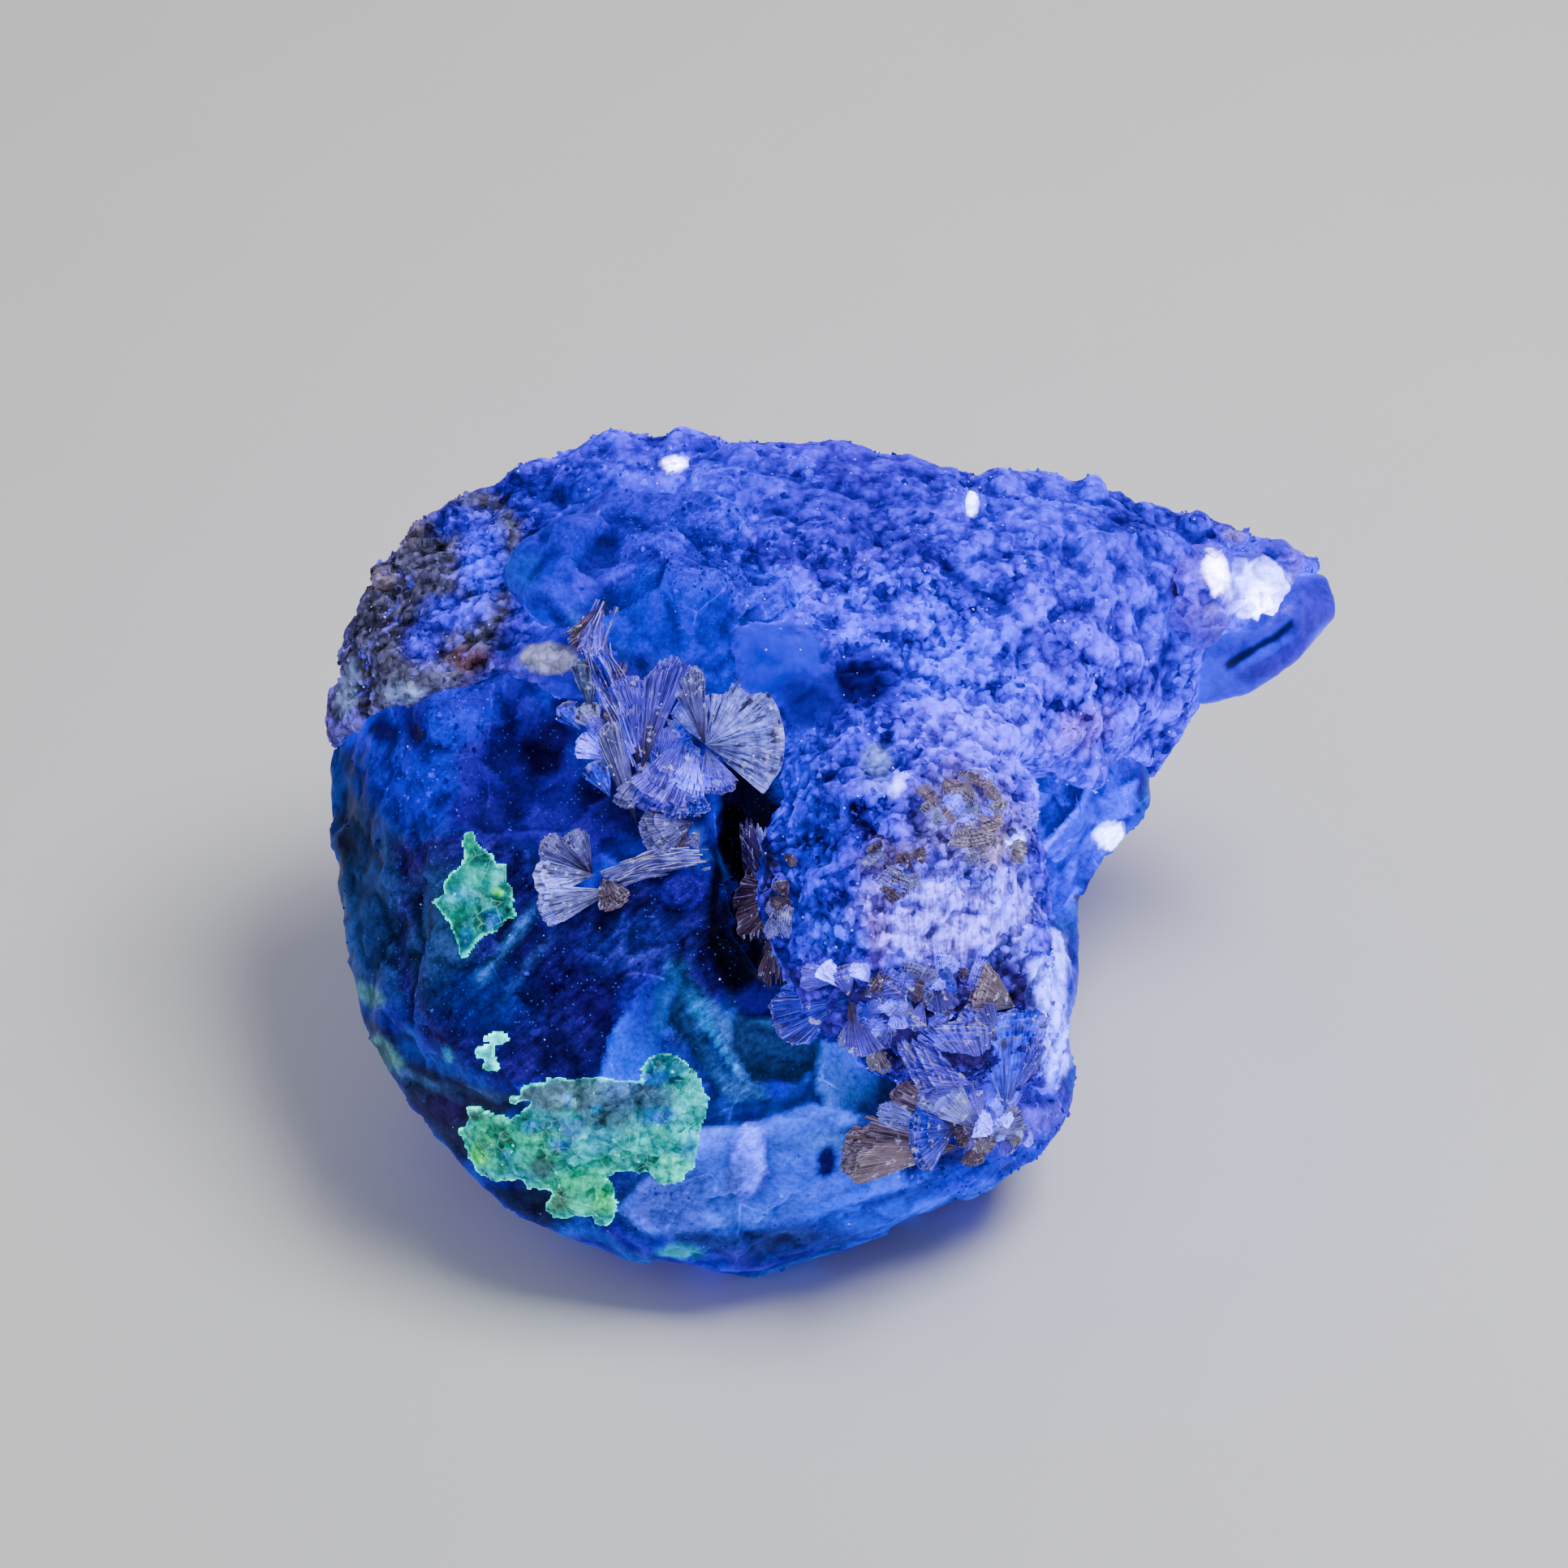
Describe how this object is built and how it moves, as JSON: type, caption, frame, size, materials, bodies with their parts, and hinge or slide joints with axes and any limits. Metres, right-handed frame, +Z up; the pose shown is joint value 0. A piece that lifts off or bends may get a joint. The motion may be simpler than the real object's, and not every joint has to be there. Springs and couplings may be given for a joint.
{
  "type": "fluorite specimen",
  "caption": "Blue fluorite mineral specimen with a violet sugary feldspar crust, fanned grey mica books and thin green hyalite skins, lying on its flat cleavage base.",
  "frame": {"origin": "centre of the bounding box's bottom face, on the plane it rests on", "axes": "+Z up, +X to the right along the spur, -Y towards the side that shows the fluorite's face"},
  "size_m": [0.0634, 0.048, 0.0392],
  "materials": {
    "fluorite_blue": "glassy, translucent",
    "tip_blue": "smooth and glassy",
    "feldspar_violet": "sugary, fine grained",
    "quartz_white": "glassy",
    "mica_grey": "pearly sheets",
    "hyalite_green": "glassy, botryoidal"
  },
  "bodies": {
    "root": {"fluorite": "fluorite_blue", "fluorite_tip_crystal": "tip_blue", "feldspar_crust": "feldspar_violet", "quartz_grains": "quartz_white", "mica_lower_rosette": "mica_grey", "mica_middle_rosette": "mica_grey", "mica_edge_books": "mica_grey", "mica_upper_rosette": "mica_grey", "mica_trio": "mica_grey", "mica_cleft_books": "mica_grey", "hyalite_crust": "hyalite_green", "hyalite_flake": "hyalite_green", "hyalite_speck": "hyalite_green"}
  },
  "joints": []
}
